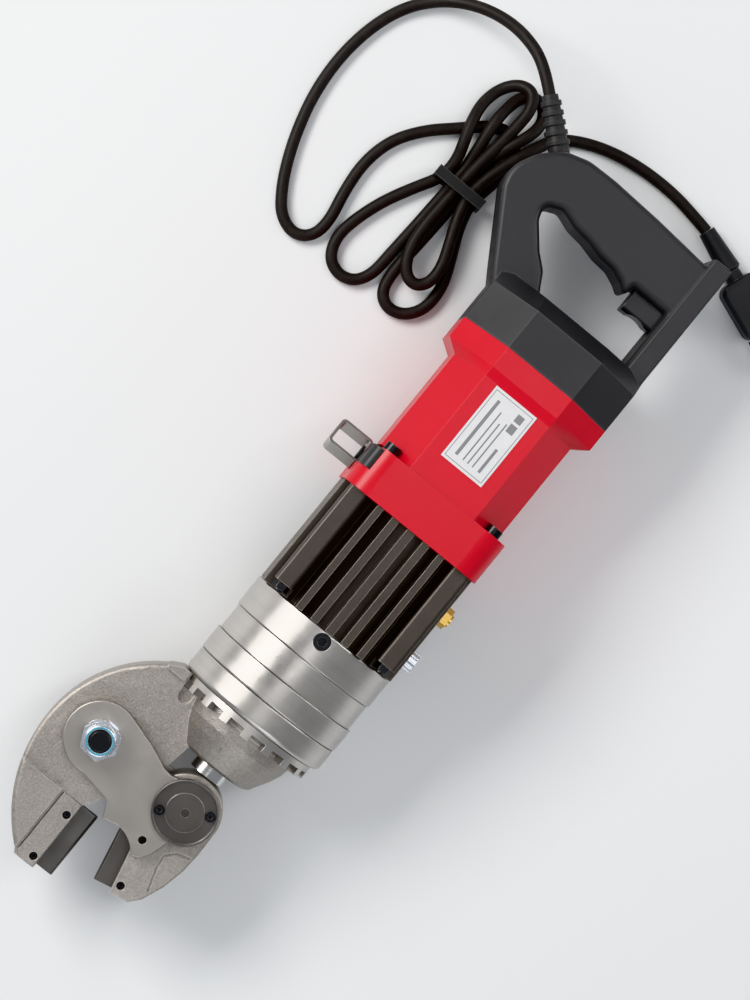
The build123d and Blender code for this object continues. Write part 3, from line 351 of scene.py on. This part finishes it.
def lacquered_fins():
    look = Look("fin_casting", metallic=0.55)
    cloud = look.noise(40, 4, 0.6)
    grain = look.noise(1100, 3, 0.6, seed=3)
    base = look.mix(cloud, (0.058, 0.050, 0.045), (0.110, 0.096, 0.085))
    # Painted highlight: the fins' crests and edges are lightened towards a pale brown.
    base = look.mix(look.math("MULTIPLY", look.edges(0.9, 0.0, 0.2), 0.8), base, (0.40, 0.36, 0.32))
    look.set("Base Color", base)
    look.set("Roughness", look.ramp(cloud, (0.3, 0.34), (0.7, 0.46)))
    look.bump((grain, 0.05), (look.noise(160, 2, seed=8), 0.08), soft=0.5)
    return look.material


def red_enamel():
    look = Look("red_paint", Coat_Weight=0.18, Coat_Roughness=0.2, Specular_IOR_Level=0.36)
    cloud = look.noise(30, 3, 0.5)
    peel = look.noise(520, 2, 0.4, seed=2)
    base = look.mix(cloud, (0.50, 0.006, 0.017), (0.60, 0.009, 0.024))
    # Painted highlight: the red is lightened towards a brighter red along the sharp edges.
    base = look.mix(look.math("MULTIPLY", look.edges(0.8), 0.35), base, (0.80, 0.08, 0.09))
    look.set("Base Color", base)
    look.set("Roughness", look.ramp(cloud, (0.3, 0.36), (0.7, 0.46)))
    look.bump((peel, 0.05), (look.noise(90, 2, seed=6), 0.06), soft=0.6)
    return look.material


def moulded(name, dark, light, rough=0.5, grain_depth=0.05, edge_highlight=0.3, painted_highlight=(0.30, 0.29, 0.29), edge=1.2):
    """Moulded plastic or rubber: a spark-eroded grain, and a painted highlight along its edges."""
    look = Look(name)
    grain = look.noise(1500, 3, 0.7)
    cloud = look.noise(35, 4, 0.55, seed=2)
    base = look.mix(cloud, dark, light)
    # Painted highlight: the base colour is lightened along the edges, by the given strength and towards the
    # given colour.
    highlight_mask = look.edges(edge, 0.0, 0.25)
    base = look.mix(look.math("MULTIPLY", highlight_mask, edge_highlight), base, painted_highlight)
    look.set("Base Color", base)
    look.set("Roughness", look.ramp(cloud, (0.3, rough - 0.06), (0.7, rough + 0.08)))
    look.bump((grain, grain_depth), soft=0.5)
    return look.material


def rubber(name, dark, light):
    look = Look(name, Specular_IOR_Level=0.4)
    scuff = look.noise(160, 5, 0.65)
    grain = look.noise(1800, 2, 0.6, seed=4)
    base = look.mix(look.ramp(scuff, (0.45, 0.0), (0.75, 1.0)), dark, light)
    look.set("Base Color", base)
    look.set("Roughness", look.ramp(scuff, (0.3, 0.48), (0.7, 0.66)))
    look.bump((grain, 0.04), (scuff, 0.08), soft=0.2)
    return look.material


def printed_label():
    """Pale foil with a thin border and plain grey rules in place of print."""
    look = Look("label_foil")
    low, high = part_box("rating_label")
    parts = look.node("ShaderNodeSeparateXYZ", Vector=look.place)
    x, y = parts.outputs["X"], parts.outputs["Y"]

    def between(value, start, end):
        above = look.math("GREATER_THAN", value, start)
        return look.math("MULTIPLY", above, look.math("LESS_THAN", value, end))

    def patch(x0, x1, y0, y1):
        return look.math("MULTIPLY", between(x, low.x + x0 * MM, low.x + x1 * MM),
                         between(y, low.y + y0 * MM, low.y + y1 * MM))

    # The border is a larger patch less a smaller one. Each rule is (x0, x1, y0, y1) from the label's corner.
    ink = patch(1.4, 43.8, 1.2, 25.2)
    ink = look.math("SUBTRACT", ink, patch(1.8, 43.4, 1.6, 24.8))
    rules = [(5, 40, 19.6, 21.4), (5, 36, 15.6, 16.4), (5, 31, 12.6, 13.4), (5, 33, 9.6, 10.4),
             (5, 20, 5.0, 6.6), (30, 35, 4.4, 8.6), (36.5, 41, 4.4, 8.6)]
    for rule in rules:
        ink = look.math("ADD", ink, patch(*rule))
    paper = look.mix(look.noise(300, 3), (0.60, 0.60, 0.61), (0.70, 0.70, 0.71))
    look.set("Base Color", look.mix(look.math("MULTIPLY", ink, 0.8, True), paper, (0.10, 0.10, 0.11)))
    look.set("Roughness", look.ramp(look.noise(60, 2, seed=3), (0.3, 0.30), (0.7, 0.42)))
    look.bump((look.noise(240, 2, seed=5), 0.03), soft=0.1)
    return look.material


LOOKS = {
    "cast_head": cast_steel(),
    "ring_steel": turned_steel(),
    "link_steel": flat_steel("link_steel", (0.36, 0.335, 0.31), (0.47, 0.445, 0.42), 0.40),
    "blade_steel": flat_steel("blade_steel", (0.12, 0.115, 0.11), (0.22, 0.21, 0.20), 0.40,
                              edge_highlight=(0.62, 0.60, 0.58)),
    "zinc": flat_steel("zinc", (0.60, 0.62, 0.67), (0.74, 0.77, 0.82), 0.22,
                       grain_along=(1, 1, 1), size=200),
    "black_steel": flat_steel("black_steel", (0.035, 0.035, 0.037), (0.06, 0.06, 0.062), 0.36,
                              edge_highlight=(0.30, 0.30, 0.30)),
    # Painted shade: this steel is kept dark so that the pin's face, seen through the cap's centre hole, reads
    # as a shaded hole.
    "pin_cap": flat_steel("pin_cap", (0.13, 0.12, 0.115), (0.20, 0.19, 0.18), 0.36, grain_along=(1, 1, 30),
                          edge_highlight=(0.72, 0.70, 0.67)),
    "ground_steel": turned_steel("ground_steel", (0.62, 0.62, 0.63), (0.72, 0.72, 0.72), 0.18),
    "steel": turned_steel("steel", (0.40, 0.40, 0.40), (0.54, 0.54, 0.53), 0.32),
    "bronze": turned_steel("bronze", (0.42, 0.26, 0.10), (0.56, 0.36, 0.16), 0.34),
    "copper": turned_steel("copper", (0.52, 0.22, 0.11), (0.66, 0.31, 0.17), 0.36),
    "oil_brass": flat_steel("oil_brass", (0.60, 0.37, 0.10), (0.78, 0.53, 0.18), 0.26, grain_along=(1, 1, 1),
                            edge_highlight=(0.92, 0.72, 0.36), size=200),
    "bare_aluminium": flat_steel("bare_aluminium", (0.52, 0.52, 0.53), (0.64, 0.64, 0.65), 0.42),
    "black_rubber": rubber("black_rubber", (0.016, 0.016, 0.016), (0.04, 0.04, 0.04)),
    "fin_casting": lacquered_fins(),
    "red_paint": red_enamel(),
    "lamination": turned_steel("lamination", (0.10, 0.10, 0.105), (0.22, 0.22, 0.225), 0.45),
    "fan_plastic": moulded("fan_plastic", (0.02, 0.02, 0.022), (0.035, 0.035, 0.038)),
    "brush_holder": moulded("brush_holder", (0.10, 0.045, 0.02), (0.15, 0.07, 0.03)),
    "label_foil": printed_label(),
    "strap_steel": flat_steel("strap_steel", (0.38, 0.37, 0.35), (0.52, 0.51, 0.49), 0.34),
    "bracket_black": moulded("bracket_black", (0.018, 0.018, 0.019), (0.03, 0.03, 0.032), 0.42, 0.03,
                             painted_highlight=(0.22, 0.22, 0.22)),
    "handle_plastic": moulded("handle_plastic", (0.028, 0.027, 0.029), (0.044, 0.043, 0.045), 0.44, 0.05, 0.5,
                              (0.17, 0.165, 0.17), 1.8),
    "trigger_plastic": moulded("trigger_plastic", (0.010, 0.010, 0.011), (0.018, 0.018, 0.02), 0.30, 0.02),
    "switch_plastic": moulded("switch_plastic", (0.014, 0.014, 0.015), (0.024, 0.024, 0.026), 0.42),
    "cord_rubber": rubber("cord_rubber", (0.014, 0.011, 0.010), (0.032, 0.027, 0.025)),
    "relief_rubber": moulded("relief_rubber", (0.022, 0.021, 0.021), (0.040, 0.039, 0.039), 0.52, 0.04, 0.35,
                             (0.14, 0.14, 0.14), 0.8),
    "tie_plastic": moulded("tie_plastic", (0.010, 0.010, 0.010), (0.02, 0.02, 0.02), 0.4),
    "plug_rubber": moulded("plug_rubber", (0.014, 0.014, 0.015), (0.026, 0.026, 0.028), 0.46, 0.04, 0.4),
}


def dress(piece, slot):
    piece.data.materials.clear()
    piece.data.materials.append(LOOKS[slot])


for subpart in frame["record"]["subparts"]:
    dress(frame["nodes"][subpart["node"]], subpart["material_slot"])
dress(cord, "cord_rubber")

# ---- small pieces --------------------------------------------------------------------------------------
SEGMENTS = 64


def add_mesh(name, vertices, faces, body, slot):
    mesh = bpy.data.meshes.new(name)
    mesh.from_pydata(vertices, [], faces)
    mesh.validate()
    piece = bpy.data.objects.new(name, mesh)
    bpy.context.scene.collection.objects.link(piece)
    for polygon in mesh.polygons:
        polygon.use_smooth = True
    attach(piece, body)
    dress(piece, slot)
    return piece


def lathe(name, profile, centre, axis, body, slot, look=None):
    """A closed (radius, height) profile in mm turned about an axis."""
    axis = Vector(axis).normalized()
    side = axis.orthogonal().normalized()
    other = axis.cross(side)
    vertices, faces = [], []
    count = len(profile)
    for i in range(SEGMENTS):
        turn = 2 * math.pi * i / SEGMENTS
        out = side * math.cos(turn) + other * math.sin(turn)
        vertices += [centre + (out * radius + axis * height) * MM for radius, height in profile]
        for j in range(count):
            here, after = i * count, (i + 1) % SEGMENTS * count
            faces.append((here + j, after + j, after + (j + 1) % count, here + (j + 1) % count))
    piece = add_mesh(name, vertices, faces, body, slot)
    if look:
        piece.data.materials.clear()
        piece.data.materials.append(look)
    return piece


PIVOT = tool(-116, 55, 0)
NUT_TOP = 31.4                    # height of the nut's outer face over the tool's axis
blue_nylon = moulded("blue_nylon", (0.05, 0.30, 0.42), (0.09, 0.40, 0.52), 0.35, 0.02, 0.0)
insert = [(6.4, NUT_TOP - 2.6), (7.3, NUT_TOP - 2.6), (7.3, NUT_TOP + 0.1), (7.0, NUT_TOP + 0.35),
          (6.7, NUT_TOP + 0.35), (6.4, NUT_TOP + 0.1)]
lathe("nut_insert", insert, PIVOT, (0, 0, 1), "arm", "zinc", blue_nylon)

# ---- view transform ------------------------------------------------------------------------------------
bpy.context.scene.view_settings.view_transform = "Khronos PBR Neutral"
